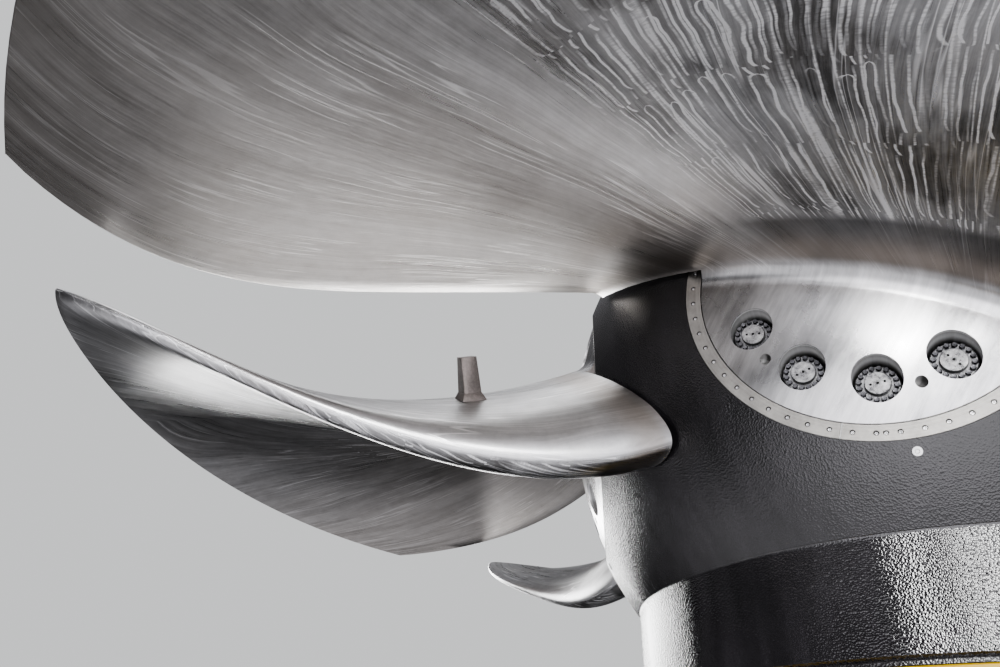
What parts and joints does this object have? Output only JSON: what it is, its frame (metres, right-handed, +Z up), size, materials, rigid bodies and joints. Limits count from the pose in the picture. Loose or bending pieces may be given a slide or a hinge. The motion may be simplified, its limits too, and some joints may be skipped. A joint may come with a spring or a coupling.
{
  "type": "kaplan turbine runner on an assembly stand",
  "caption": "Hydro turbine runner with a round black hub and wide adjustable blades of ground steel on bolted root flanges, standing nose up on a stand with a yellow top plate.",
  "frame": {"origin": "middle of the underside of the stand's base plate, on the floor", "axes": "+Z up along the runner's own axis, +X along the pitch axis of blade 1"},
  "size_m": [10.4955, 10.4992, 5.2003],
  "materials": {
    "black_paint": "satin, fine orange peel",
    "gloss_black_paint": "gloss, fine orange peel",
    "ground_steel": "ground and brushed along the flow",
    "ring_steel": "satin, turned",
    "stud_steel": "oiled, machined",
    "lug_steel": "matt, flame cut",
    "yellow_paint": "semi-gloss",
    "grey_paint": "semi-gloss"
  },
  "bodies": {
    "hub": {"hub_body": "black_paint", "hub_lower_cylinder": "gloss_black_paint", "hub_shaft_flange": "gloss_black_paint", "hub_nose_flange": "black_paint", "seal_ring_1_left": "ring_steel", "seal_ring_1_right": "ring_steel", "seal_ring_2_left": "ring_steel", "seal_ring_2_right": "ring_steel", "seal_ring_3_left": "ring_steel", "seal_ring_3_right": "ring_steel", "seal_ring_4_left": "ring_steel", "seal_ring_4_right": "ring_steel", "seal_ring_5_left": "ring_steel", "seal_ring_5_right": "ring_steel", "stand_base_plate": "grey_paint", "stand_top_plate": "yellow_paint", "stand_leg_1": "grey_paint", "stand_leg_2": "grey_paint", "stand_leg_3": "grey_paint", "stand_leg_4": "grey_paint", "stand_leg_5": "grey_paint", "stand_leg_6": "grey_paint"},
    "blade_assembly_1": {"blade_1": "ground_steel", "trunnion_1": "stud_steel", "lifting_lug_1": "lug_steel"},
    "blade_assembly_2": {"blade_2": "ground_steel", "trunnion_2": "stud_steel", "lifting_lug_2": "lug_steel"},
    "blade_assembly_3": {"blade_3": "ground_steel", "trunnion_3": "stud_steel", "lifting_lug_3": "lug_steel"},
    "blade_assembly_4": {"blade_4": "ground_steel", "trunnion_4": "stud_steel", "lifting_lug_4": "lug_steel"},
    "blade_assembly_5": {"blade_5": "ground_steel", "trunnion_5": "stud_steel", "lifting_lug_5": "lug_steel"}
  },
  "joints": [
    {"name": "blade_pitch_1", "type": "hinge", "parent": "hub", "child": "blade_assembly_1", "pos_m": [0, 0, 3.78], "axis": [-1, 0, 0], "range_deg": [0, 28]},
    {"name": "blade_pitch_2", "type": "hinge", "parent": "hub", "child": "blade_assembly_2", "pos_m": [0, 0, 3.78], "axis": [-0.309, 0.9511, 0], "range_deg": [0, 28]},
    {"name": "blade_pitch_3", "type": "hinge", "parent": "hub", "child": "blade_assembly_3", "pos_m": [0, 0, 3.78], "axis": [0.809, 0.5878, 0], "range_deg": [0, 28]},
    {"name": "blade_pitch_4", "type": "hinge", "parent": "hub", "child": "blade_assembly_4", "pos_m": [0, 0, 3.78], "axis": [0.809, -0.5878, 0], "range_deg": [0, 28]},
    {"name": "blade_pitch_5", "type": "hinge", "parent": "hub", "child": "blade_assembly_5", "pos_m": [0, 0, 3.78], "axis": [-0.309, -0.9511, 0], "range_deg": [0, 28]}
  ],
  "couplings": [
    {"joint": "blade_pitch_2", "follows": "blade_pitch_1", "ratio": 1},
    {"joint": "blade_pitch_3", "follows": "blade_pitch_1", "ratio": 1},
    {"joint": "blade_pitch_4", "follows": "blade_pitch_1", "ratio": 1},
    {"joint": "blade_pitch_5", "follows": "blade_pitch_1", "ratio": 1}
  ]
}
